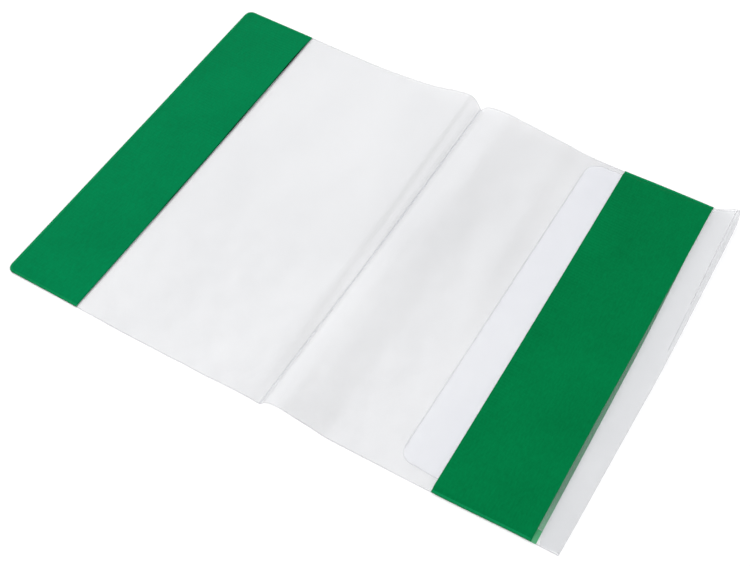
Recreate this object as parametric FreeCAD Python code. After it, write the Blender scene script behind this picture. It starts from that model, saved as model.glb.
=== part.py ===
import FreeCAD, Part
import math
import os

V = FreeCAD.Vector

# ---------------------------------------------------------------- dimensions (mm)
# X runs across the open jacket, Y along the spine, Z up; the spine crease is at X = 0.
height = 255.0            # film height along the spine
half_h = height / 2.0
left_edge = -175.2        # outer edge of the front panel
right_edge = 176.3        # outermost line of the turned-in fold

film_t = 0.15             # clear film thickness
strip_t = 0.20            # coloured film thickness
corner_r = 4.5            # outer corners of the front panel

axis_z = 0.30             # height of the crease axis above the underside
crease_r_out = 0.30       # outside of the creased bend
crease_r_in = crease_r_out - film_t
panel_start = 0.45        # distance from crease axis to each flat panel

weld_w = 2.0              # width of every welded edge

# front pocket
front_mouth = -124.4      # free edge of the pocket strip
front_gap = 1.45          # room in the relaxed pocket

# rear sleeve, two coloured strips one over the other
sleeve_left = 101.6
sleeve_right = 159.5
inner_left = 103.4        # lower strip, its free right edge runs a little out of square
inner_right_far = 158.2
inner_right_near = 161.9
board_gap = 1.35          # room between back film and lower strip
sleeve_gap = 1.00         # room between lower and upper strip

back_end = 160.0          # fixed part of the back film ends under the sleeve

# turned-in film: lower leaf, roll, upper leaf, tongue
leaf_z = 0.35             # underside of the lower leaf
leaf_left = 122.0
leaf_half_h = 124.6
roll_start = 168.3        # where the leaves leave the flat and go round the roll
roll_r = 1.90             # middle radius of the roll
upper_left = 120.0
tongue_left = 78.6
tongue_right = 132.0
tongue_half_h = 121.5
tongue_mid_y = 1.8        # the tongue sits a little off centre in its sleeve
tongue_r = 11.0

# ---------------------------------------------------------------- levels
z_strip_front = film_t + front_gap
z_inner = film_t + board_gap
z_inner_top = z_inner + strip_t
z_outer = z_inner_top + sleeve_gap
z_tongue = z_inner_top + 0.25
z_upper = z_tongue + film_t + 0.20


def plate(x0, x1, y0, y1, z0, t):
    return Part.makeBox(x1 - x0, y1 - y0, t, V(x0, y0, z0))


def rounded_left(x0, x1, hh, r, z0, t):
    """Flat plate whose two left-hand corners are rounded."""
    k = r * (1.0 - 0.5 ** 0.5)
    edges = [
        Part.LineSegment(V(x1, -hh, z0), V(x1, hh, z0)).toShape(),
        Part.LineSegment(V(x1, hh, z0), V(x0 + r, hh, z0)).toShape(),
        Part.Arc(V(x0 + r, hh, z0), V(x0 + k, hh - k, z0), V(x0, hh - r, z0)).toShape(),
        Part.LineSegment(V(x0, hh - r, z0), V(x0, -hh + r, z0)).toShape(),
        Part.Arc(V(x0, -hh + r, z0), V(x0 + k, -hh + k, z0), V(x0 + r, -hh, z0)).toShape(),
        Part.LineSegment(V(x0 + r, -hh, z0), V(x1, -hh, z0)).toShape(),
    ]
    return Part.Face(Part.Wire(edges)).extrude(V(0, 0, t))


nodes = {}

# ---------------------------------------------------------------- front half
nodes["front_panel"] = rounded_left(left_edge, -panel_start, half_h, corner_r, 0.0, film_t)
nodes["front_pocket_strip"] = rounded_left(left_edge, front_mouth, half_h, corner_r, z_strip_front, strip_t)

weld_block = rounded_left(left_edge, front_mouth, half_h, corner_r, film_t, front_gap)
nodes["front_pocket_weld_edge"] = weld_block.common(
    plate(left_edge - 5, left_edge + weld_w, -half_h - 5, half_h + 5, -1, 10))
nodes["front_pocket_weld_top"] = weld_block.common(
    plate(left_edge + weld_w, front_mouth + 5, half_h - weld_w, half_h + 5, -1, 10))
nodes["front_pocket_weld_bottom"] = weld_block.common(
    plate(left_edge + weld_w, front_mouth + 5, -half_h - 5, -half_h + weld_w, -1, 10))

# ---------------------------------------------------------------- spine crease
bend_out = Part.makeCylinder(crease_r_out, height, V(0, -half_h, axis_z), V(0, 1, 0))
bend_in = Part.makeCylinder(crease_r_in, height + 2, V(0, -half_h - 1, axis_z), V(0, 1, 0))
lower_half = plate(-2, 2, -half_h - 1, half_h + 1, axis_z - 2, 2)
nodes["spine_crease"] = bend_out.cut(bend_in).common(lower_half)

# ---------------------------------------------------------------- back half
back = plate(0.0, back_end, -half_h, half_h, 0.0, film_t)
nodes["back_panel"] = back.cut(
    Part.makeCylinder(crease_r_out + 0.01, height + 2, V(0, -half_h - 1, axis_z), V(0, 1, 0))
).common(plate(0.02, back_end + 1, -half_h - 1, half_h + 1, -1, 3))

inner_pts = [V(inner_left, -half_h, z_inner), V(inner_right_near, -half_h, z_inner),
             V(inner_right_far, half_h, z_inner), V(inner_left, half_h, z_inner)]
inner_face = Part.Face(Part.makePolygon(inner_pts + [inner_pts[0]]))
nodes["sleeve_inner_strip"] = inner_face.extrude(V(0, 0, strip_t))
nodes["sleeve_outer_strip"] = plate(sleeve_left, sleeve_right, -half_h, half_h, z_outer, strip_t)

nodes["board_weld_top"] = plate(inner_left, inner_right_far, half_h - weld_w, half_h, film_t, board_gap)
nodes["board_weld_bottom"] = plate(inner_left, sleeve_right, -half_h, -half_h + weld_w, film_t, board_gap)
nodes["sleeve_weld_top"] = plate(inner_left, inner_right_far, half_h - weld_w, half_h, z_inner_top, sleeve_gap)
nodes["sleeve_weld_bottom"] = plate(inner_left, sleeve_right, -half_h, -half_h + weld_w, z_inner_top, sleeve_gap)

# ---------------------------------------------------------------- turned-in film
nodes["turn_in_lower_leaf"] = plate(leaf_left, roll_start, -leaf_half_h, leaf_half_h, leaf_z, film_t)
nodes["turn_in_upper_leaf"] = plate(upper_left, roll_start, tongue_mid_y - tongue_half_h, tongue_mid_y + tongue_half_h, z_upper, film_t)

# The roll is a drop-shaped loop: two straight legs that run tangent into a round nose.
cx = right_edge - film_t / 2 - roll_r
cz = roll_r + film_t / 2
low_p = (roll_start, leaf_z + film_t / 2)
up_p = (roll_start, z_upper + film_t / 2)


def tangent_angle(p, sign):
    """Angle on the nose circle where the leg from point p touches it."""
    dx, dz = p[0] - cx, p[1] - cz
    d = math.hypot(dx, dz)
    return math.atan2(dz, dx) + sign * math.acos(roll_r / d)


a_low = tangent_angle(low_p, +1.0)
a_up = tangent_angle(up_p, -1.0)
while a_low > 0:
    a_low -= 2 * math.pi
while a_up < 0:
    a_up += 2 * math.pi
if a_low < -math.pi:
    a_low += 2 * math.pi


def leg_offset(p, ang, r):
    """Start of a leg, moved square to the leg onto the wall at radius r."""
    q = (cx + roll_r * math.cos(ang), cz + roll_r * math.sin(ang))
    n = (math.cos(ang), math.sin(ang))
    s = r - roll_r
    return (p[0] + n[0] * s, p[1] + n[1] * s), (q[0] + n[0] * s, q[1] + n[1] * s)


r_o = roll_r + film_t / 2
r_i = roll_r - film_t / 2
lo_o, lq_o = leg_offset(low_p, a_low, r_o)
lo_i, lq_i = leg_offset(low_p, a_low, r_i)
up_o, uq_o = leg_offset(up_p, a_up, r_o)
up_i, uq_i = leg_offset(up_p, a_up, r_i)


def v3(p):
    return V(p[0], -half_h, p[1])


def on_nose(r, ang):
    return (cx + r * math.cos(ang), cz + r * math.sin(ang))


def leg(start_o, end_o, end_i, start_i):
    """Straight length of film between its flat leaf and the bend."""
    pts = [v3(start_o), v3(end_o), v3(end_i), v3(start_i)]
    body = Part.Face(Part.makePolygon(pts + [pts[0]])).extrude(V(0, height, 0))
    return body.common(plate(roll_start, right_edge + 5, -half_h - 1, half_h + 1, -1, 12))


def bend(a0, a1):
    """Part of the round nose between two angles."""
    am = (a0 + a1) / 2
    edges = [
        Part.Arc(v3(on_nose(r_o, a0)), v3(on_nose(r_o, am)), v3(on_nose(r_o, a1))).toShape(),
        Part.LineSegment(v3(on_nose(r_o, a1)), v3(on_nose(r_i, a1))).toShape(),
        Part.Arc(v3(on_nose(r_i, a1)), v3(on_nose(r_i, am)), v3(on_nose(r_i, a0))).toShape(),
        Part.LineSegment(v3(on_nose(r_i, a0)), v3(on_nose(r_o, a0))).toShape(),
    ]
    return Part.Face(Part.Wire(edges)).extrude(V(0, height, 0))


nodes["turn_in_leg_lower"] = leg(lo_o, lq_o, lq_i, lo_i)
nodes["turn_in_leg_upper"] = leg(up_o, uq_o, uq_i, up_i)
nodes["turn_in_bend_lower"] = bend(a_low, 0.0)
nodes["turn_in_bend_upper"] = bend(0.0, a_up)

nodes["turn_in_tongue"] = rounded_left(tongue_left, tongue_right, tongue_half_h, tongue_r, z_tongue, film_t)
nodes["turn_in_tongue"].translate(V(0, tongue_mid_y, 0))

# ---------------------------------------------------------------- write
os.makedirs("parts", exist_ok=True)
for name, shape in nodes.items():
    shape = shape.removeSplitter()
    if len(shape.Solids) == 1:
        shape = shape.Solids[0]
    assert shape.isValid(), name
    b = shape.BoundBox
    print("%-26s solids %d vol %9.2f  x %.2f..%.2f y %.2f..%.2f z %.2f..%.2f" % (
        name, len(shape.Solids), shape.Volume, b.XMin, b.XMax, b.YMin, b.YMax, b.ZMin, b.ZMax))
    shape.exportStep("parts/%s.step" % name)
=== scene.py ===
import bpy
import math
import numpy as np
from mathutils import Matrix, Vector


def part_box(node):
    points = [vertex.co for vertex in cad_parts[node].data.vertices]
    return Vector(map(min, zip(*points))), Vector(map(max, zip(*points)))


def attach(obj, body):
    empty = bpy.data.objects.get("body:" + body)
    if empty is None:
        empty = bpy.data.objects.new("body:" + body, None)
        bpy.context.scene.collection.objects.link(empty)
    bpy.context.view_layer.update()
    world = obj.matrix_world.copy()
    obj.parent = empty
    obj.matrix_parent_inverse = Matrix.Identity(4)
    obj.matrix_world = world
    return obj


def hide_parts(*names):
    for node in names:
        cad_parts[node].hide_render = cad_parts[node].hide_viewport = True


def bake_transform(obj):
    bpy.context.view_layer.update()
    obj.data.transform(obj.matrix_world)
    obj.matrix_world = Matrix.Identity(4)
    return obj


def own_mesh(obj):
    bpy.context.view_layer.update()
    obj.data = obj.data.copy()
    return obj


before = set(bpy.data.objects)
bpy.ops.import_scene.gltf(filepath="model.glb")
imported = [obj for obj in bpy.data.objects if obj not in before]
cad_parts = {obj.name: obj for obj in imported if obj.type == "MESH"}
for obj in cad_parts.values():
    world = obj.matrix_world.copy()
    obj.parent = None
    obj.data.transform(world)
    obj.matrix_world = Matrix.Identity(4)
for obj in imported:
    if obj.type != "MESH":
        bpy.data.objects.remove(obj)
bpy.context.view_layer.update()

MM = 0.001
rng = np.random.RandomState(11)


# ------------------------------------------------------------------ places, from the CAD boxes (mm)
def box_mm(node):
    lo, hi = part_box(node)
    return np.array(lo) / MM, np.array(hi) / MM


fp_lo, fp_hi = box_mm("front_panel")
ps_lo, ps_hi = box_mm("front_pocket_strip")
so_lo, so_hi = box_mm("sleeve_outer_strip")
si_lo, si_hi = box_mm("sleeve_inner_strip")
tg_lo, tg_hi = box_mm("turn_in_tongue")

HALF = fp_hi[1]            # half the film's height along the spine
LEFT = fp_lo[0]            # outer edge of the front panel
MOUTH = ps_hi[0]           # free edge of the front pocket
SL, SR = so_lo[0], so_hi[0]
TAIL = tg_lo[0]
TH = (tg_hi[1] - tg_lo[1]) / 2   # half height of the tongue
TC = (tg_hi[1] + tg_lo[1]) / 2   # its middle
CORNER = 4.5
TAIL_R = 11.0
NEAR_R = 8.0               # the tongue's near corner is a little tighter
FILM = 0.15
GREEN = 0.20


# ------------------------------------------------------------------ small maths
def pchip(xk, yk):
    """Smooth curve through points, without overshoot."""
    xk, yk = np.array(xk, float), np.array(yk, float)
    h, d = np.diff(xk), np.diff(yk) / np.diff(xk)
    m = np.zeros_like(yk)
    m[0], m[-1] = d[0], d[-1]
    for i in range(1, len(xk) - 1):
        if d[i - 1] * d[i] > 0:
            w1, w2 = 2 * h[i] + h[i - 1], h[i] + 2 * h[i - 1]
            m[i] = (w1 + w2) / (w1 / d[i - 1] + w2 / d[i])

    def f(x):
        x = np.clip(np.asarray(x, float), xk[0], xk[-1])
        i = np.clip(np.searchsorted(xk, x, side="right") - 1, 0, len(h) - 1)
        t = (x - xk[i]) / h[i]
        return (
            yk[i] * (1 + 2 * t) * (1 - t) ** 2
            + m[i] * h[i] * t * (1 - t) ** 2
            + yk[i + 1] * t * t * (3 - 2 * t)
            + m[i + 1] * h[i] * t * t * (t - 1)
        )

    return f


def smooth(a, b, x):
    t = np.clip((np.asarray(x, float) - a) / (b - a), 0, 1)
    return t * t * (3 - 2 * t)


def waves(n, lo, hi, stretch):
    """Fixed sum of sine waves, used as gentle unevenness. Wavelengths lo to hi in mm, longer along the spine by stretch."""
    lam = rng.uniform(lo, hi, n)
    ang = rng.uniform(0, math.pi, n)
    ph = rng.uniform(0, 2 * math.pi, n)

    def f(x, y):
        s = np.zeros(np.broadcast(x, y).shape)
        for l, a, p in zip(lam, ang, ph):
            s = s + np.sin(2 * math.pi / l * (x * math.cos(a) + y * math.sin(a) / stretch) + p)
        return s / math.sqrt(n)

    return f


crinkle = waves(14, 14, 34, 1.6)
swell = waves(8, 45, 90, 2.4)
ripple = waves(10, 22, 60, 3.0)


def steps(*spans):
    """Positions along one direction: each span is (start, end, number of steps)."""
    out = []
    for a, b, n in spans:
        p = np.linspace(a, b, n + 1)
        out.append(p if not out else p[1:])
    return np.concatenate(out)


# ------------------------------------------------------------------ meshes
bow_at = pchip([-176, -135, -100, -40, 40, 80, 105, 155, 178], [0.0, -0.45, -1.0, -1.1, -1.0, -0.9, -0.7, 0.45, 0.6])


def bow(x, y):
    """How far the laid film sits off square, along the spine."""
    near, far = (1 - y / HALF) / 2, (1 + y / HALF) / 2
    return bow_at(x) * (0.8 - 0.3 * y / HALF) + 0.30 * near * (1 - smooth(-130, -112, x) * smooth(12, 2, x)) - 0.35 * far * smooth(-12, 8, x) * smooth(126, 102, x)


def draw_in(x, y):
    """How far the front panel's outer edge is drawn in, across the spine."""
    return 0.40 * smooth(-150, -175, x) * smooth(95, 10, y)


def slab(name, mid, thick, ring_sides="", third=(), lines=()):
    """Closed thin sheet round a grid of middle points, in mm. The outer row of faces on each side named in ring_sides (a, b: ends of the first direction; c, d: of the second) takes the second material, as do the rows of faces numbered in lines; those in third take the third."""
    mid = np.array(mid, float)
    x0, y0 = mid[:, :, 0].copy(), mid[:, :, 1].copy()
    mid[:, :, 0] += draw_in(x0, y0)
    mid[:, :, 1] += bow(x0, y0)
    nu, nv = mid.shape[:2]
    du = np.gradient(mid, axis=0)
    dv = np.gradient(mid, axis=1)
    n = np.cross(du, dv)
    n /= np.maximum(np.linalg.norm(n, axis=2, keepdims=True), 1e-12)
    top = mid + n * thick / 2
    low = mid - n * thick / 2
    verts = np.concatenate([top.reshape(-1, 3), low.reshape(-1, 3)]) * MM
    k = nu * nv
    idx = np.arange(k).reshape(nu, nv)
    quads = np.stack([idx[:-1, :-1], idx[1:, :-1], idx[1:, 1:], idx[:-1, 1:]], axis=-1).reshape(-1, 4)
    faces = [tuple(q) for q in quads.tolist()]
    faces += [tuple(int(i) + k for i in reversed(q)) for q in quads.tolist()]
    ring = (
        [(i, 0) for i in range(nu)]
        + [(nu - 1, j) for j in range(1, nv)]
        + [(i, nv - 1) for i in range(nu - 2, -1, -1)]
        + [(0, j) for j in range(nv - 2, 0, -1)]
    )
    border = [int(idx[i, j]) for i, j in ring]
    for a, b in zip(border, border[1:] + border[:1]):
        faces.append((b, a, a + k, b + k))
    me = bpy.data.meshes.new(name)
    me.from_pydata(verts.tolist(), [], faces)
    me.validate()
    me.update()
    ob = bpy.data.objects.new(name, me)
    bpy.context.scene.collection.objects.link(ob)
    flat_from = 2 * len(quads)
    me.polygons.foreach_set("use_smooth", [i < flat_from for i in range(len(me.polygons))])
    cell = np.zeros((nu - 1, nv - 1), int)
    for i in third:
        cell[i, :] = 2
    for i in lines:
        cell[i, :] = 1
    if "a" in ring_sides:
        cell[0, :] = 1
    if "b" in ring_sides:
        cell[-1, :] = 1
    if "c" in ring_sides:
        cell[:, 0] = 1
    if "d" in ring_sides:
        cell[:, -1] = 1
    flat = cell.ravel().tolist()
    me.polygons.foreach_set("material_index", flat + flat + [1 if ring_sides else 0] * (len(me.polygons) - flat_from))
    # the cut edges stay crisp
    sharp = me.attributes.new("sharp_edge", "BOOLEAN", "EDGE")
    rim = set()
    for a, b in zip(border, border[1:] + border[:1]):
        rim.add((min(a, b), max(a, b)))
        rim.add((min(a, b) + k, max(a, b) + k))
    marks = [tuple(sorted(e.vertices)) in rim for e in me.edges]
    sharp.data.foreach_set("value", marks)
    return ob


def rounded_half(x, x0, r, hh):
    """Half height of an outline whose end at x0 has two round corners."""
    t = np.clip(r - np.abs(np.asarray(x, float) - x0), 0, r)
    return hh - (r - np.sqrt(np.maximum(r * r - t * t, 0)))


# ------------------------------------------------------------------ shape of the film
BASE = 0.20
far_left = pchip([0, 1.2, 3, 5, 7, 9.5, 12, 19, 28, 36, 45, 60, 85, 180],
                 [0.3, 2.3, 5.3, 7.6, 8.8, 9.3, 9.1, 7.8, 5.4, 3.7, 2.5, 0.9, 0, 0])
near_left = pchip([0, 3, 7, 11, 15, 27, 40, 60, 180], [0.1, 0.35, 0.8, 1.05, 1.05, 0.6, 0.15, 0, 0])
far_right = pchip([0, 1.2, 2.8, 4.8, 7, 11, 15, 20, 28, 36, 45, 53, 62, 70, 76, 82, 90, 130],
                  [0.3, 1.9, 3.9, 5.4, 6.2, 6.8, 7.0, 6.9, 6.2, 5.3, 4.3, 3.3, 2.2, 0.9, 0.35, 0.1, 0, 0])
near_right = pchip([0, 2, 4.1, 7.9, 11.7, 19, 26.6, 34, 41, 52, 130],
                   [0.1, 2.6, 4.8, 6.3, 6.1, 4.9, 3.3, 1.8, 0.6, 0.1, 0])
valley_at = pchip([-128, -80, -40, 0, 60, 128], [-2.2, -1.1, -0.3, 0.5, 1.2, 1.6])


def along(y, power):
    return np.clip((np.asarray(y, float) + HALF) / (2 * HALF), 0, 1) ** power


def z_film(x, y):
    """Height of the bent film on both sides of the crease, which runs a little out of square."""
    d = x - valley_at(y)
    tl, tr = along(y, 1.15), along(y, 1.0)
    left = (1 - tl) * near_left(-d) + tl * far_left(-d)
    right = (1 - tr) * near_right(d) + tr * far_right(d)
    return np.where(d < 0, left, right)


def z_front(x, y):
    z = z_film(x, y)
    soft = smooth(4, 30, -x) * smooth(-126, -112, x)
    low = 0.25 + 0.75 * smooth(30, -80, y)
    z = z + soft * (0.40 * low * crinkle(x, y) + 0.22 * swell(x, y))
    return BASE + np.maximum(z, 0)


def z_back(x, y):
    z = z_film(x, y)
    soft = smooth(4, 26, x) * smooth(79, 60, x)
    z = z + soft * (0.36 * ripple(x, y) + 0.10 * crinkle(x, y))
    return BASE + np.maximum(z, 0)


RING = 0.55 / HALF
ys = steps((-1, -1 + RING, 1), (-1 + RING, -0.94, 5), (-0.94, 0.94, 94), (0.94, 1 - RING, 5), (1 - RING, 1, 1))

xf = steps((LEFT, LEFT + CORNER, 10), (LEFT + CORNER, -122, 20), (-122, -30, 46), (-30, -14, 16), (-14, -4, 18), (-4, 0, 22))
X = xf[:, None] * np.ones_like(ys)[None, :]
Y = ys[None, :] * rounded_half(xf, LEFT, CORNER, HALF)[:, None]
film_front = slab("film_front", np.stack([X, Y, z_front(X, Y)], axis=2), FILM, "cd")

BACK_END = 118.0
xb = steps((0, 4, 22), (4, 14, 18), (14, 30, 16), (30, 92, 31), (92, BACK_END, 10))
X = xb[:, None] * np.ones_like(ys)[None, :]
Y = ys[None, :] * HALF * np.ones_like(xb)[:, None]
film_back = slab("film_back", np.stack([X, Y, z_back(X, Y)], axis=2), FILM, "cd")

# a thin darker strip along the crease valley, painted shade in the crease, in two lengths: the far one lies on the back
# half, the near one on the front half
def crease_line(name, y0, y1):
    y = np.linspace(y0, y1, 60)
    mid_x = valley_at(y)
    rows = []
    for dx in (-0.65, -0.32, 0.0, 0.32, 0.65):
        rows.append(np.stack([mid_x + dx, y, BASE + np.maximum(z_film(mid_x + dx, y), 0) + 0.13], axis=1))
    return slab(name, np.array(rows), 0.08)


Y_CROSS = float(np.interp(0.6, valley_at(np.linspace(-128, 128, 512)), np.linspace(-128, 128, 512)))
crease_far = crease_line("spine_crease_far", Y_CROSS, HALF - 0.3)
crease_near = crease_line("spine_crease_near", -HALF + 0.3, Y_CROSS)

# the turned-in end: lower length, nose, upper length and tongue
Z_SLEEVE = 1.40            # film level between the two sleeve strips
Z_TAIL = 1.22


fold_end_at = pchip([-128, -115, -80, -40, 0, 40, 105, 117, 123.5, 128], [173.35, 173.8, 174.7, 175.7, 176.7, 176.9, 176.8, 176.5, 175.8, 174.4])


def fold_top(y):
    return 2.7 + 4.6 * along(y, 1.5)


def fold_low(y):
    return BASE + 6.0 * along(y, 1.7)


def fold_end(y):
    """Outermost reach of the fold, which runs a little out of square."""
    return fold_end_at(y)


def spline(points, n):
    """Even curve through a short list of (x, z) arrays, one curve per column."""
    P = np.array(points)                       # k, 2, nv
    P = np.concatenate([2 * P[:1] - P[1:2], P, 2 * P[-1:] - P[-2:-1]])
    out = []
    segs = len(P) - 3
    for i in range(segs):
        p0, p1, p2, p3 = P[i], P[i + 1], P[i + 2], P[i + 3]
        for t in np.linspace(0, 1, n, endpoint=(i == segs - 1)):
            out.append(
                0.5 * (2 * p1 + (p2 - p0) * t + (2 * p0 - 5 * p1 + 4 * p2 - p3) * t * t
                       + (3 * p1 - p0 - 3 * p2 + p3) * t ** 3)
            )
    return np.array(out)                        # rows, 2, nv


yv = ys * HALF
ht, hl, xe = fold_top(yv), fold_low(yv), fold_end(yv)
mid_z = (ht + hl) / 2
NOSE = np.where(yv > 105, 176.8, xe) - pchip([-128, -80, -40, 0, 40, 80, 128], [0.7, 0.7, 0.8, 1.1, 1.6, 2.3, 2.9])(yv)

# lower length and lower half of the nose
flat_x = steps((BACK_END, 160, 22))
low_pts = [
    (np.full_like(yv, 160.0), np.full_like(yv, BASE)),
    (np.full_like(yv, 163.5), BASE + (hl - BASE) * 0.10),
    ((NOSE + 163.5) / 2, BASE + (hl - BASE) * 0.48),
    (NOSE, hl),
    (NOSE + (xe - NOSE) * 0.74, hl + (mid_z - hl) * 0.34),
    (xe, mid_z),
]
low_curve = spline(low_pts, 9)
rows = [np.stack([np.full_like(yv, x), yv, np.full_like(yv, BASE)], axis=1) for x in flat_x[:-1]]
rows += [np.stack([c[0], yv, c[1]], axis=1) for c in low_curve]
film_under = slab("film_under", np.array(rows), FILM, "cd")

# upper half of the nose, upper length and tongue
up_pts = [
    (xe, mid_z),
    (NOSE + (xe - NOSE) * 0.74, ht - (ht - mid_z) * 0.30),
    (NOSE, ht),
    (NOSE - (NOSE - 160.5) * 0.22, Z_SLEEVE + (ht - Z_SLEEVE) * 0.82),
    (NOSE - (NOSE - 160.5) * 0.48, Z_SLEEVE + (ht - Z_SLEEVE) * 0.38),
    (NOSE - (NOSE - 160.5) * 0.75, Z_SLEEVE + (ht - Z_SLEEVE) * 0.08),
    (np.full_like(yv, 160.5), np.full_like(yv, Z_SLEEVE)),
]
up_curve = spline(up_pts, 9)


def tongue_half(x):
    h = rounded_half(x, TAIL, TAIL_R, TH)
    return np.where(np.asarray(x) > TAIL + TAIL_R, TH + (HALF - TH) * smooth(160.2, 163.2, x), h)


def z_tongue(x, y):
    z = Z_TAIL + (Z_SLEEVE - Z_TAIL) * smooth(94, 103, x)
    near = np.exp(-(((x - TAIL) / 13) ** 2) - (((y + TH) / 26) ** 2))
    far = np.exp(-(((x - TAIL) / 13) ** 2) - (((y - TH) / 30) ** 2))
    z = z + (0.32 * near + 0.34 * far) * smooth(104, 88, x)
    z = z + 0.05 * smooth(103, 92, x) * ripple(x, y)
    return z


rows = []
for c in up_curve:
    h = tongue_half(c[0])
    rows.append(np.stack([c[0], ys * h + TC * (HALF - h) / (HALF - TH), c[1]], axis=1))
for x in steps((160.5, 104, 28), (104, TAIL + TAIL_R, 10), (TAIL + TAIL_R, TAIL + 0.8, 16), (TAIL + 0.8, TAIL, 1))[1:]:
    hh = float(tongue_half(np.array(x)))
    near_hh = float(rounded_half(x, TAIL, NEAR_R, TH)) if x < TAIL + TAIL_R else hh
    yy = np.where(ys < 0, near_hh, hh) * ys + TC * min((HALF - hh) / (HALF - TH), 1.0)
    yy = yy + 0.9 * smooth(104, 86, x) * smooth(-60, -112, yy)
    skew = 1.15 * np.clip(yy / 105, -1, 1) * smooth(104, 84, x)
    rows.append(np.stack([x + skew, yy, z_tongue(np.full_like(yv, x), yy)], axis=1))
last = len(rows) - 2
# the rows numbered in lines, at the fold's outer bend and just inside its crest, take the darker edge film: painted
# shade lines where the film rolls over
film_over = slab("film_over", np.array(rows)[::-1], FILM, "acd",
                 third=range(last - 78, last + 1), lines=[last - r for r in (0, 1, 2, 20, 21)])


# ------------------------------------------------------------------ green strips
def rim(y, hh, drop_w, lead):
    """1 on the flat of a strip, 0 on its welded rim."""
    return smooth(lead, lead + drop_w, hh - np.abs(y))


def z_pocket(x, y):
    hh = HALF
    inner = rim(y, hh, 7.0, 1.7) * smooth(LEFT + 1.7, LEFT + 11, x)
    mouth = smooth(LEFT + 14, MOUTH, x)
    lift = 0.05 + 0.45 * np.exp(-(((y - 62) / 40) ** 2)) + 0.05 * np.exp(-(((y + 60) / 40) ** 2))
    return 0.48 + inner * (0.20 + mouth * lift) + inner * 0.06 * swell(x * 1.4, y)


yg = steps((-1, -0.985, 3), (-0.985, -0.90, 10), (-0.90, 0.90, 90), (0.90, 0.985, 10), (0.985, 1, 3))
xp = steps((LEFT, LEFT + CORNER, 10), (LEFT + CORNER, LEFT + 12, 8), (LEFT + 12, MOUTH - 0.7, 26), (MOUTH - 0.7, MOUTH, 1))
X = xp[:, None] * np.ones_like(yg)[None, :]
Y = yg[None, :] * rounded_half(xp, LEFT, CORNER, HALF)[:, None]
Z = z_pocket(X, Y)
X = X + (0.55 * (1 - (Y / HALF) ** 2) - 0.50) * smooth(MOUTH - 25, MOUTH, X)
pocket_strip = slab("pocket_strip", np.stack([X, Y, Z], axis=2), GREEN)


def z_lower_strip(x, y):
    return 0.50 + 0.42 * rim(y, HALF, 2.6, 1.7)


def z_upper_strip(x, y):
    f = rim(y, HALF, 2.6, 1.7)
    edge = smooth(SL + 9, SL, x) * 0.16 + smooth(SR - 8, SR, x) * 0.10
    return 0.78 + f * (1.10 + edge) + f * 0.05 * swell(x * 1.3 + 40, y)


lower_right = pchip([-128, -60, 0, 30, 60, 128], [160.9, 160.9, 160.8, 160.4, 159.8, 158.2])
upper_right = pchip([-128, -60, 0, 60, 128], [158.1, 158.3, 158.9, 159.3, 159.5])
right = lower_right(yg * HALF)
u = np.r_[np.linspace(0, 1, 30), 1.0]
X = si_lo[0] + u[:, None] * (right[None, :] - 2.9 - si_lo[0])
X[-1] = right
Y = yg[None, :] * HALF * np.ones_like(u)[:, None]
sleeve_lower = slab("sleeve_lower", np.stack([X, Y, z_lower_strip(X, Y)], axis=2), GREEN, "b")

xs = steps((0, 0.17, 10), (0.17, 0.86, 22), (0.86, 1, 8))
X = SL + xs[:, None] * (upper_right(yg * HALF)[None, :] - SL)
Y = yg[None, :] * HALF * np.ones_like(xs)[:, None]
Z = z_upper_strip(X, Y)
X = X + 0.30 * (1 - (Y / HALF) ** 2) * smooth(SL + 20, SL, X)
sleeve_upper = slab("sleeve_upper", np.stack([X, Y, Z], axis=2), GREEN)


# ------------------------------------------------------------------ welded seams
def seam(name, path, inward, z, width=1.3, pitch=3.1, duty=0.62, rise=0.16, base=0.05):
    """Pressed seam along a path: a thin flat bead with short raised dashes. path and inward are lists of (x, y)."""
    path, inward = np.array(path, float), np.array(inward, float)
    step = np.r_[0, np.cumsum(np.linalg.norm(np.diff(path, axis=0), axis=1))]
    n = int(step[-1] / 0.35)
    s = np.linspace(0, step[-1], n)
    px, py = np.interp(s, step, path[:, 0]), np.interp(s, step, path[:, 1])
    nx, ny = np.interp(s, step, inward[:, 0]), np.interp(s, step, inward[:, 1])
    ln = np.hypot(nx, ny)
    nx, ny = nx / ln, ny / ln
    ph = np.mod(s / pitch, 1.0)
    dash = smooth(0, 0.12, ph) * smooth(duty, duty - 0.12, ph)
    ends = smooth(0, 0.8, s) * smooth(s[-1], s[-1] - 0.8, s)
    across = np.array([0.0, 0.18, 0.34, 0.5, 0.66, 0.82, 1.0])
    hump = np.array([0, 0.25, 0.85, 1, 0.85, 0.25, 0.0])
    rows = []
    for a, h in zip(across, hump):
        d = 0.25 + a * width
        rows.append(np.stack([px + nx * d, py + ny * d, z + base + h * rise * dash * ends], axis=1))
    ob = slab(name, np.array(rows)[::-1] if path[0][0] > path[-1][0] else np.array(rows), 0.06)
    return ob


k = np.linspace(0, math.pi / 2, 9)
edge_path, edge_in = [], []
for a in k[::-1][:]:
    edge_path.append((LEFT + CORNER - CORNER * math.cos(a), -HALF + CORNER - CORNER * math.sin(a)))
    edge_in.append((math.cos(a), math.sin(a)))
for a in k:
    edge_path.append((LEFT + CORNER - CORNER * math.cos(a), HALF - CORNER + CORNER * math.sin(a)))
    edge_in.append((math.cos(a), -math.sin(a)))

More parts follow.
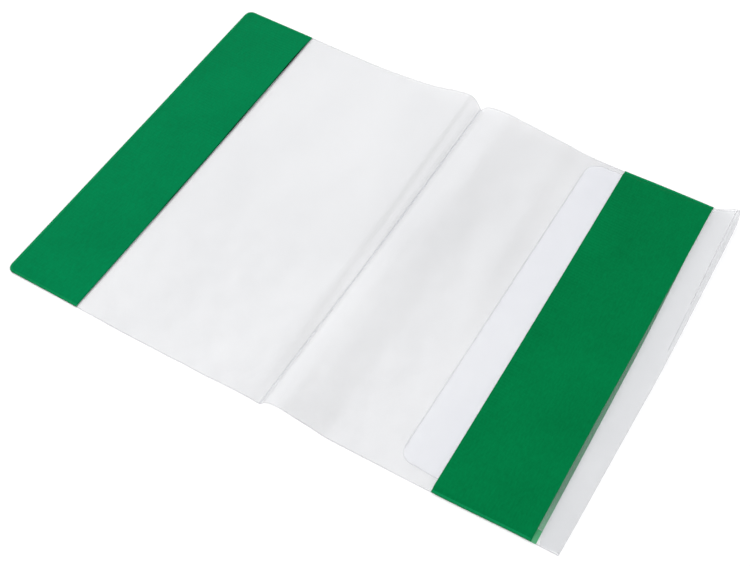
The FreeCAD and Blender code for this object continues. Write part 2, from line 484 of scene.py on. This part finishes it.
ZR_P = 0.50 + GREEN / 2
ZR_U = 0.78 + GREEN / 2
ZR_L = 0.50 + GREEN / 2
pocket_weld_edge = seam("pocket_weld_edge", edge_path, edge_in, ZR_P, rise=0.05)
pocket_weld_bottom = seam("pocket_weld_bottom", [(LEFT + CORNER + 0.5, -HALF), (MOUTH - 0.4, -HALF)], [(0, 1), (0, 1)], ZR_P)
pocket_weld_top = seam("pocket_weld_top", [(LEFT + CORNER + 0.5, HALF), (MOUTH - 0.4, HALF)], [(0, -1), (0, -1)], ZR_P)
sleeve_weld_bottom = seam("rear_sleeve_weld_bottom", [(SL + 0.4, -HALF), (SR - 1.9, -HALF)], [(0, 1), (0, 1)], ZR_U, rise=0.10)
sleeve_weld_top = seam("rear_sleeve_weld_top", [(SL + 0.4, HALF), (SR - 0.4, HALF)], [(0, -1), (0, -1)], ZR_U, rise=0.10)
board_weld_bottom = seam("rear_board_weld_bottom", [(si_lo[0] + 0.4, -HALF), (si_hi[0] - 1.6, -HALF)], [(0, 1), (0, 1)], ZR_L - GREEN - 0.14, rise=0.05)
board_weld_top = seam("rear_board_weld_top", [(si_lo[0] + 0.4, HALF), (si_hi[0] - 4.4, HALF)], [(0, -1), (0, -1)], ZR_L - GREEN - 0.14, rise=0.05)


# ------------------------------------------------------------------ materials
def new_material(name):
    m = bpy.data.materials.new(name)
    m.use_nodes = True
    nt = m.node_tree
    nt.nodes.clear()
    out = nt.nodes.new("ShaderNodeOutputMaterial")
    return m, nt, out


def noise(nt, coord, scale, detail=3.0, rough=0.55, stretch=None):
    n = nt.nodes.new("ShaderNodeTexNoise")
    n.inputs["Scale"].default_value = scale
    n.inputs["Detail"].default_value = detail
    n.inputs["Roughness"].default_value = rough
    src = coord
    if stretch is not None:
        mp = nt.nodes.new("ShaderNodeMapping")
        mp.inputs["Scale"].default_value = stretch
        nt.links.new(coord, mp.inputs["Vector"])
        src = mp.outputs["Vector"]
    nt.links.new(src, n.inputs["Vector"])
    return n.outputs["Fac"]


def ranged(nt, value, a, b, lo=0.3, hi=0.7):
    r = nt.nodes.new("ShaderNodeMapRange")
    r.inputs["From Min"].default_value = lo
    r.inputs["From Max"].default_value = hi
    r.inputs["To Min"].default_value = a
    r.inputs["To Max"].default_value = b
    nt.links.new(value, r.inputs["Value"])
    return r.outputs["Result"]


def math2(nt, kind, a, b):
    n = nt.nodes.new("ShaderNodeMath")
    n.operation = kind
    for socket, v in zip(n.inputs, (a, b)):
        if isinstance(v, float):
            socket.default_value = v
        else:
            nt.links.new(v, socket)
    return n.outputs["Value"]


def ramp(nt, value, stops):
    r = nt.nodes.new("ShaderNodeValToRGB")
    el = r.color_ramp.elements
    while len(el) < len(stops):
        el.new(0.5)
    for e, (p, c) in zip(el, stops):
        e.position = p
        e.color = (*c, 1.0)
    nt.links.new(value, r.inputs["Fac"])
    return r.outputs["Color"]


def clear_film(name, dark, pale, most, least, gloss, near=1.0):
    """Thin film: faint haze that varies over the sheet, with a weak even sheen. near is the share of haze left at the near end."""
    m, nt, out = new_material(name)
    tc = nt.nodes.new("ShaderNodeTexCoord")
    co = tc.outputs["Object"]
    p = nt.nodes.new("ShaderNodeBsdfPrincipled")
    cloud = noise(nt, co, 16.0, 3.0, 0.5, (1.0, 0.45, 1.0))
    mottle = noise(nt, co, 85.0, 2.0, 0.6, (1.0, 0.6, 1.0))
    sep = nt.nodes.new("ShaderNodeSeparateXYZ")
    nt.links.new(co, sep.inputs["Vector"])
    uneven = math2(nt, "MULTIPLY", ranged(nt, sep.outputs["Y"], 0.050, 0.008, -0.10, 0.04), ranged(nt, mottle, 1.0, -1.0))
    fine = noise(nt, co, 240.0, 4.0, 0.6)
    nt.links.new(ramp(nt, cloud, [(0.25, dark), (0.75, pale)]), p.inputs["Base Color"])
    haze = ranged(nt, cloud, most, least)
    haze = math2(nt, "MULTIPLY", haze, math2(nt, "ADD", uneven, ranged(nt, sep.outputs["Y"], near, 1.0, -0.11, 0.0)))
    nt.links.new(haze, p.inputs["Alpha"])
    nt.links.new(ranged(nt, fine, 0.28, 0.32), p.inputs["Roughness"])
    p.inputs["IOR"].default_value = 1.49
    p.inputs["Specular IOR Level"].default_value = 0.3
    bump = nt.nodes.new("ShaderNodeBump")
    bump.inputs["Strength"].default_value = 0.04
    bump.inputs["Distance"].default_value = 0.0002
    nt.links.new(fine, bump.inputs["Height"])
    nt.links.new(bump.outputs["Normal"], p.inputs["Normal"])
    g = nt.nodes.new("ShaderNodeBsdfGlossy")
    g.inputs["Roughness"].default_value = 0.20
    g.inputs["Color"].default_value = (0.97, 0.98, 1.0, 1.0)
    mix = nt.nodes.new("ShaderNodeMixShader")
    mix.inputs["Fac"].default_value = gloss
    nt.links.new(p.outputs["BSDF"], mix.inputs[1])
    nt.links.new(g.outputs["BSDF"], mix.inputs[2])
    nt.links.new(mix.outputs["Shader"], out.inputs["Surface"])
    return m


def green_film(name, light, along_y=None):
    """Green film of two mixed shades, or with along_y of shades that follow each other along the spine: pairs of place (mm) and colour."""
    m, nt, out = new_material(name)
    tc = nt.nodes.new("ShaderNodeTexCoord")
    co = tc.outputs["Object"]
    p = nt.nodes.new("ShaderNodeBsdfPrincipled")
    cloud = noise(nt, co, 22.0, 4.0, 0.6)
    grain = noise(nt, co, 900.0, 2.0, 0.5, (1.0, 0.35, 1.0))
    both = nt.nodes.new("ShaderNodeMath")
    both.operation = "MULTIPLY_ADD"
    both.inputs[1].default_value = 0.55
    nt.links.new(grain, both.inputs[0])
    nt.links.new(ranged(nt, cloud, 0.10, 0.35), both.inputs[2])
    a, b = light
    shade, stops = both.outputs["Value"], [(0.25, a), (0.75, b)]
    if along_y is not None:
        sep = nt.nodes.new("ShaderNodeSeparateXYZ")
        nt.links.new(co, sep.inputs["Vector"])
        shade = ranged(nt, sep.outputs["Y"], 0.0, 1.0, -0.128, 0.128)
        stops = [((y + 128.0) / 256.0, c) for y, c in along_y]
    nt.links.new(ramp(nt, shade, stops), p.inputs["Base Color"])
    nt.links.new(ranged(nt, grain, 0.48, 0.62), p.inputs["Roughness"])
    p.inputs["Specular IOR Level"].default_value = 0.02
    # fine embossed ribs across each other
    ribs = []
    for direction, scale in (("X", 190.0), ("Y", 150.0)):
        w = nt.nodes.new("ShaderNodeTexWave")
        w.wave_type = "BANDS"
        w.bands_direction = direction
        w.inputs["Scale"].default_value = scale
        w.inputs["Distortion"].default_value = 1.6
        w.inputs["Detail"].default_value = 2.0
        w.inputs["Detail Scale"].default_value = 1.5
        nt.links.new(co, w.inputs["Vector"])
        ribs.append(w.outputs["Fac"])
    add = nt.nodes.new("ShaderNodeMath")
    add.operation = "ADD"
    nt.links.new(ribs[0], add.inputs[0])
    nt.links.new(ribs[1], add.inputs[1])
    bump = nt.nodes.new("ShaderNodeBump")
    bump.inputs["Strength"].default_value = 0.35
    bump.inputs["Distance"].default_value = 0.00010
    nt.links.new(add.outputs["Value"], bump.inputs["Height"])
    nt.links.new(bump.outputs["Normal"], p.inputs["Normal"])
    nt.links.new(p.outputs["BSDF"], out.inputs["Surface"])
    return m


clear = clear_film("clear_film", (0.385, 0.393, 0.406), (0.435, 0.442, 0.452), 0.198, 0.167, 0.050, near=0.91)
clear_back = clear_film("clear_film_back", (0.385, 0.393, 0.408), (0.435, 0.442, 0.454), 0.189, 0.157, 0.060, near=0.95)
clear_under = clear_film("clear_film_under", (0.39, 0.405, 0.42), (0.44, 0.455, 0.47), 0.116, 0.098, 0.020, near=1.13)
# painted light: the tongue's film has a far paler colour than the rest, so the doubled film reads no darker, in place
# of the light that passes through the layers
tongue_film_painted_light = clear_film("clear_film_tongue", (0.90, 0.912, 0.99), (0.93, 0.942, 1.0), 0.158, 0.132, 0.012)
clear_fold = clear_film("clear_film_fold", (0.39, 0.405, 0.432), (0.44, 0.455, 0.482), 0.104, 0.088, 0.040, near=1.13)
# darker film for the cut edges, also used for the painted shade lines on the fold
film_edge_and_fold_shade = clear_film("film_cut_edge", (0.36, 0.36, 0.38), (0.44, 0.44, 0.45), 0.34, 0.28, 0.03)
# the tongue's cut edge, widened and darkened: partly the edge itself, partly painted shade of its lifted edge
tongue_edge_and_shade = clear_film("film_tongue_edge", (0.38, 0.38, 0.42), (0.45, 0.45, 0.48), 0.22, 0.17, 0.02)
# painted shade: darker film for the strip along the crease valley
crease_painted_shade = clear_film("film_crease", (0.36, 0.37, 0.41), (0.43, 0.44, 0.47), 0.17, 0.12, 0.02)
# the pocket's and the sleeve's green are one film in two shades: the sleeve's copy is darker as painted shade, the
# pocket's end taking more of the light
green = green_film("green_film", ((0.0, 0.160, 0.052), (0.0, 0.212, 0.070)))
green_sleeve_painted_shade = green_film("green_film_sleeve", ((0.0, 0.142, 0.040), (0.0, 0.188, 0.054)))
green_pale = green_film("green_film_under_clear", ((0.0, 0.142, 0.040), (0.0, 0.188, 0.054)),
                        along_y=[(-125, (0.085, 0.345, 0.165)), (-118, (0.065, 0.300, 0.135)), (-95, (0.004, 0.165, 0.050)), (128, (0.004, 0.165, 0.050))])
# painted shade: a dark green band along the pocket's free mouth edge, darkest where the edge lifts off the film, in
# place of the shade under it
mouth_painted_shade = [(-120, 0.155), (-85, 0.140), (-58, 0.150), (-36, 0.065), (-16, 0.095), (18, 0.090), (30, 0.030), (40, 0.030),
              (54, 0.085), (74, 0.090), (86, 0.040), (94, 0.003), (106, 0.003), (116, 0.070), (124, 0.150)]
green_shade = green_film("green_film_mouth_edge", ((0.0, 0.160, 0.052), (0.0, 0.212, 0.070)), along_y=[(y, (0.0, v, 0.38 * v)) for y, v in mouth_painted_shade])
green_weld = green_film("green_weld", ((0.002, 0.19, 0.062), (0.004, 0.25, 0.085)))

for o in (film_front, film_back, film_under, film_over):
    o.data.materials.append({film_over: tongue_film_painted_light, film_back: clear_back, film_under: clear_under}.get(o, clear))
    o.data.materials.append(film_edge_and_fold_shade)
for o in (film_front, film_back, film_under, film_over, crease_far, crease_near):
    o.visible_shadow = False     # clear film hardly shades what lies under it
for o in (sleeve_lower, sleeve_upper):
    o.visible_shadow = False     # pressed flat on the film, closer than the gaps here
for o in (crease_far, crease_near):
    o.data.materials.append(crease_painted_shade)
film_over.data.materials.append(clear_fold)
film_over.data.materials.append(tongue_edge_and_shade)
for f in film_over.data.polygons:
    c = f.center / MM
    # ring faces on the tongue take its edge film, which is partly painted shade
    if f.material_index == 1 and c[0] < 140:
        f.material_index = 3
    row = f.index % (len(rows[0]) * (len(rows) - 1) - len(rows) + 1) // (len(rows[0]) - 1)
    # the painted fold shade lines are kept over only part of the fold's length; the rest of those faces take the plain
    # fold film
    if f.material_index == 1 and row in (last - 20, last - 21) and (c[1] < 14 or c[1] < 48 and row == last - 21):
        f.material_index = 2
    if f.material_index == 1 and 160 < c[0] < fold_end_at(c[1]) - 1.2 and c[1] < -72:
        f.material_index = 2
pocket_strip.data.materials.append(green)
pocket_strip.data.materials.append(green_shade)
# the faces along the pocket mouth take the painted shade
for f in pocket_strip.data.polygons:
    c = f.center / MM
    if c[0] > MOUTH + 0.55 * (1 - (c[1] / HALF) ** 2) - 1.12:
        f.material_index = 1
sleeve_lower.data.materials.append(green_sleeve_painted_shade)
sleeve_lower.data.materials.append(green_pale)
sleeve_upper.data.materials.append(green_sleeve_painted_shade)
welds = (pocket_weld_edge, pocket_weld_bottom, pocket_weld_top, sleeve_weld_bottom,
         sleeve_weld_top, board_weld_bottom, board_weld_top)
for o in welds:
    o.data.materials.append(green_weld)


# ------------------------------------------------------------------ floor, light, camera
me = bpy.data.meshes.new("floor")
R = 4.0
me.from_pydata([(-R, -R, 0), (R, -R, 0), (R, R, 0), (-R, R, 0)], [], [(0, 1, 2, 3)])
floor = bpy.data.objects.new("floor", me)
bpy.context.scene.collection.objects.link(floor)
floor.location.z = -0.0002
fm, nt, out = new_material("pale_floor")
p = nt.nodes.new("ShaderNodeBsdfPrincipled")
tc = nt.nodes.new("ShaderNodeTexCoord")
nt.links.new(ramp(nt, noise(nt, tc.outputs["Object"], 3.0), [(0.2, (0.945, 0.945, 0.945)), (0.8, (0.96, 0.96, 0.96))]), p.inputs["Base Color"])
p.inputs["Roughness"].default_value = 0.9
p.inputs["Specular IOR Level"].default_value = 0.0
nt.links.new(p.outputs["BSDF"], out.inputs["Surface"])
me.materials.append(fm)

world = bpy.data.worlds.new("studio")
bpy.context.scene.world = world
world.use_nodes = True
wn = world.node_tree
wn.nodes.clear()
wo = wn.nodes.new("ShaderNodeOutputWorld")
bg = wn.nodes.new("ShaderNodeBackground")
bg.inputs["Strength"].default_value = 1.04
wc = wn.nodes.new("ShaderNodeTexCoord")
sep = wn.nodes.new("ShaderNodeSeparateXYZ")
wn.links.new(wc.outputs["Generated"], sep.inputs["Vector"])
rx = wn.nodes.new("ShaderNodeMapRange")
rx.inputs["From Min"].default_value = -1.0
rx.inputs["From Max"].default_value = 1.0
wn.links.new(sep.outputs["X"], rx.inputs["Value"])
grey = lambda v: (v, v, v * 1.015)
wn.links.new(ramp(wn, rx.outputs["Result"], [(0.0, grey(1.0)), (0.36, grey(1.0)), (0.45, grey(0.66)), (0.54, grey(0.14)), (0.66, grey(0.28)), (0.82, grey(1.0))]), bg.inputs["Color"])
wn.links.new(bg.outputs["Background"], wo.inputs["Surface"])


def lamp(name, loc, target, size, power):
    d = bpy.data.lights.new(name, "AREA")
    d.shape = "DISK"
    d.size = size
    d.energy = power
    o = bpy.data.objects.new(name, d)
    bpy.context.scene.collection.objects.link(o)
    o.location = loc
    o.rotation_mode = "QUATERNION"
    o.rotation_quaternion = (Vector(target) - Vector(loc)).to_track_quat("-Z", "Y")
    o.visible_glossy = False
    return o


lamp("key", (-1.1, 0.5, 1.7), (0, 0, 0), 1.2, 14.0)
lamp("fill", (0.6, -0.8, 1.9), (0, 0, 0), 1.6, 9.0)

cam_d = bpy.data.cameras.new("cam")
cam = bpy.data.objects.new("cam", cam_d)
bpy.context.scene.collection.objects.link(cam)
cam_d.sensor_width = 36.0
cam_d.lens = 1279.59 / 750.0 * 36.0
cam_d.clip_start, cam_d.clip_end = 0.01, 50
fwd = Vector((-0.270481113918074, 0.5241374805485928, -0.8075393912979175))
rgt = Vector((0.8683178526735212, 0.4950702093891039, 0.030489252268192824))
upv = rgt.cross(fwd)
m = Matrix.Identity(4)
for i in range(3):
    m[i][0], m[i][1], m[i][2] = rgt[i], upv[i], -fwd[i]
m[0][3], m[1][3], m[2][3] = 0.21015, -0.41267, 0.59403
cam.matrix_world = m
bpy.context.scene.camera = cam
bpy.context.scene.view_settings.view_transform = "Standard"
bpy.context.scene.view_settings.look = "None"

# ------------------------------------------------------------------ what rides on what
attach(film_front, "front")
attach(film_back, "back")
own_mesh(film_front)
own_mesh(film_back)
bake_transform(film_under)
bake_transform(film_over)
for o in (pocket_strip, pocket_weld_edge, pocket_weld_bottom, pocket_weld_top):
    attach(o, "front")
for o in (sleeve_lower, sleeve_upper, sleeve_weld_bottom, sleeve_weld_top, board_weld_bottom, board_weld_top):
    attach(o, "back")

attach(crease_far, "back")
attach(crease_near, "front")
for o in (crease_far, crease_near):
    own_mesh(o)
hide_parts("front_panel")
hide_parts("spine_crease")
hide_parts("back_panel")
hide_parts("turn_in_lower_leaf", "turn_in_leg_lower", "turn_in_bend_lower")
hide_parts("turn_in_bend_upper", "turn_in_leg_upper", "turn_in_upper_leaf", "turn_in_tongue")
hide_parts("front_pocket_strip")
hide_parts("sleeve_inner_strip")
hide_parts("sleeve_outer_strip")
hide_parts("front_pocket_weld_edge")
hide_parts("front_pocket_weld_bottom")
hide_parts("front_pocket_weld_top")
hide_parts("sleeve_weld_bottom")
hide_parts("sleeve_weld_top")
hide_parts("board_weld_bottom")
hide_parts("board_weld_top")
